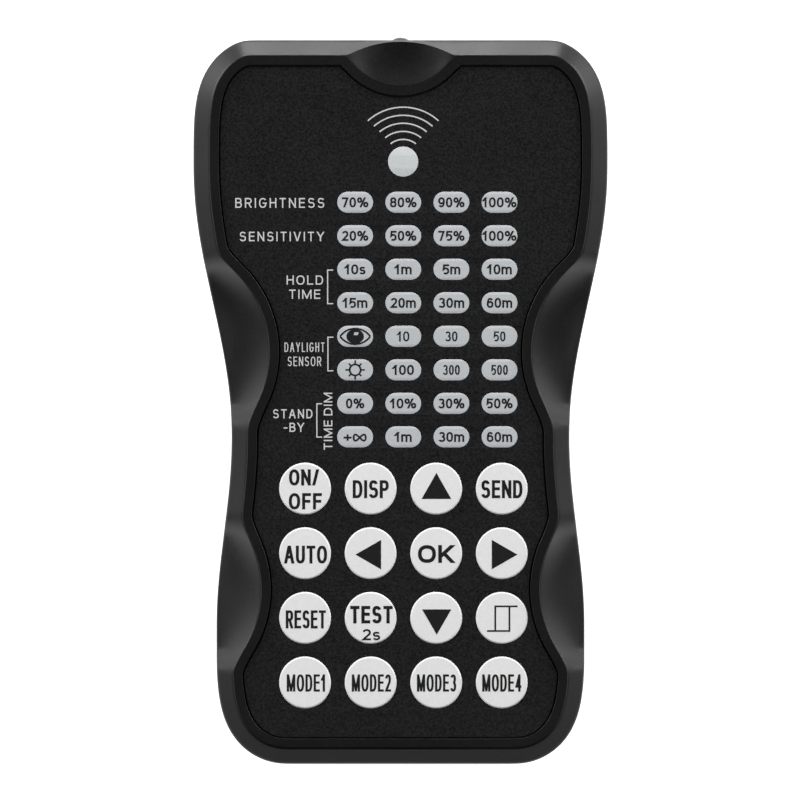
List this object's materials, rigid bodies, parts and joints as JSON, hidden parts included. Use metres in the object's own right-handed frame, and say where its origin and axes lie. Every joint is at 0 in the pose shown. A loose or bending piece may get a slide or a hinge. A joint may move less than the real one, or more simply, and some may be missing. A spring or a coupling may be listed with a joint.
{
  "type": "hand controller",
  "caption": "Waisted handheld infrared controller with round keys, pill windows on a recessed film, finger scallops, a thumb scoop and a sliding battery door.",
  "frame": {"origin": "middle of the flat back face, on which the controller lies, halfway between its two ends", "axes": "+Z out of the key face, +Y along the length toward the infrared lamp, +X to the right when the keys are read"},
  "size_m": [0.0704, 0.1237, 0.0203],
  "materials": {
    "shell_black": "fine spark texture, satin",
    "film_black": "textured film, matt with a fine grain",
    "key_white": "printed white, satin",
    "window_grey": "translucent pale grey, satin",
    "status_white": "translucent white, satin",
    "stem_plastic": "moulded",
    "baffle_white": "moulded white",
    "board_green": "solder mask over glass-fibre board",
    "lamp_cream": "moulded chip lamp",
    "lamp_clear": "water-clear resin, polished",
    "nickel_sheet": "nickel-plated",
    "chip_black": "moulded package",
    "capacitor_sleeve": "printed sleeve",
    "cell_jacket": "plain printed jacket, satin",
    "screw_steel": "zinc-plated"
  },
  "bodies": {
    "case": {"front_shell": "shell_black", "rear_shell": "shell_black", "graphic_overlay": "film_black", "switch_bodies": "nickel_sheet", "status_window": "status_white", "brightness_windows": "window_grey", "sensitivity_windows": "window_grey", "hold_time_windows": "window_grey", "daylight_windows": "window_grey", "standby_windows": "window_grey", "light_baffle": "baffle_white", "main_board": "board_green", "indicator_lamps": "lamp_cream", "status_lamp": "lamp_cream", "ir_lamp": "lamp_clear", "ir_lamp_legs": "nickel_sheet", "microcontroller": "chip_black", "driver_chip": "chip_black", "crystal": "nickel_sheet", "capacitors": "capacitor_sleeve", "resistors": "chip_black", "cell_left": "cell_jacket", "cell_right": "cell_jacket", "cell_springs": "nickel_sheet", "contact_plates": "nickel_sheet", "case_screws": "screw_steel"},
    "door": {"battery_door": "shell_black"},
    "on_off_button": {"key_on_off": "key_white", "stem_on_off": "stem_plastic"},
    "display_button": {"key_display": "key_white", "stem_display": "stem_plastic"},
    "up_button": {"key_up": "key_white", "stem_up": "stem_plastic"},
    "send_button": {"key_send": "key_white", "stem_send": "stem_plastic"},
    "auto_button": {"key_auto": "key_white", "stem_auto": "stem_plastic"},
    "left_button": {"key_left": "key_white", "stem_left": "stem_plastic"},
    "ok_button": {"key_ok": "key_white", "stem_ok": "stem_plastic"},
    "right_button": {"key_right": "key_white", "stem_right": "stem_plastic"},
    "reset_button": {"key_reset": "key_white", "stem_reset": "stem_plastic"},
    "test_button": {"key_test": "key_white", "stem_test": "stem_plastic"},
    "down_button": {"key_down": "key_white", "stem_down": "stem_plastic"},
    "step_button": {"key_step": "key_white", "stem_step": "stem_plastic"},
    "mode_1_button": {"key_mode_1": "key_white", "stem_mode_1": "stem_plastic"},
    "mode_2_button": {"key_mode_2": "key_white", "stem_mode_2": "stem_plastic"},
    "mode_3_button": {"key_mode_3": "key_white", "stem_mode_3": "stem_plastic"},
    "mode_4_button": {"key_mode_4": "key_white", "stem_mode_4": "stem_plastic"}
  },
  "joints": [
    {"name": "on_off_press", "type": "slide", "parent": "case", "child": "on_off_button", "axis": [0, 0, 1], "range_m": [-0.0003, 0], "stiffness_N_per_m": 4000},
    {"name": "display_press", "type": "slide", "parent": "case", "child": "display_button", "axis": [0, 0, 1], "range_m": [-0.0003, 0], "stiffness_N_per_m": 4000},
    {"name": "up_press", "type": "slide", "parent": "case", "child": "up_button", "axis": [0, 0, 1], "range_m": [-0.0003, 0], "stiffness_N_per_m": 4000},
    {"name": "send_press", "type": "slide", "parent": "case", "child": "send_button", "axis": [0, 0, 1], "range_m": [-0.0003, 0], "stiffness_N_per_m": 4000},
    {"name": "auto_press", "type": "slide", "parent": "case", "child": "auto_button", "axis": [0, 0, 1], "range_m": [-0.0003, 0], "stiffness_N_per_m": 4000},
    {"name": "left_press", "type": "slide", "parent": "case", "child": "left_button", "axis": [0, 0, 1], "range_m": [-0.0003, 0], "stiffness_N_per_m": 4000},
    {"name": "ok_press", "type": "slide", "parent": "case", "child": "ok_button", "axis": [0, 0, 1], "range_m": [-0.0003, 0], "stiffness_N_per_m": 4000},
    {"name": "right_press", "type": "slide", "parent": "case", "child": "right_button", "axis": [0, 0, 1], "range_m": [-0.0003, 0], "stiffness_N_per_m": 4000},
    {"name": "reset_press", "type": "slide", "parent": "case", "child": "reset_button", "axis": [0, 0, 1], "range_m": [-0.0003, 0], "stiffness_N_per_m": 4000},
    {"name": "test_press", "type": "slide", "parent": "case", "child": "test_button", "axis": [0, 0, 1], "range_m": [-0.0003, 0], "stiffness_N_per_m": 4000},
    {"name": "down_press", "type": "slide", "parent": "case", "child": "down_button", "axis": [0, 0, 1], "range_m": [-0.0003, 0], "stiffness_N_per_m": 4000},
    {"name": "step_press", "type": "slide", "parent": "case", "child": "step_button", "axis": [0, 0, 1], "range_m": [-0.0003, 0], "stiffness_N_per_m": 4000},
    {"name": "mode_1_press", "type": "slide", "parent": "case", "child": "mode_1_button", "axis": [0, 0, 1], "range_m": [-0.0003, 0], "stiffness_N_per_m": 4000},
    {"name": "mode_2_press", "type": "slide", "parent": "case", "child": "mode_2_button", "axis": [0, 0, 1], "range_m": [-0.0003, 0], "stiffness_N_per_m": 4000},
    {"name": "mode_3_press", "type": "slide", "parent": "case", "child": "mode_3_button", "axis": [0, 0, 1], "range_m": [-0.0003, 0], "stiffness_N_per_m": 4000},
    {"name": "mode_4_press", "type": "slide", "parent": "case", "child": "mode_4_button", "axis": [0, 0, 1], "range_m": [-0.0003, 0], "stiffness_N_per_m": 4000},
    {"name": "door_slide", "type": "slide", "parent": "case", "child": "door", "axis": [0, -1, 0], "range_m": [0, 0.045]}
  ]
}
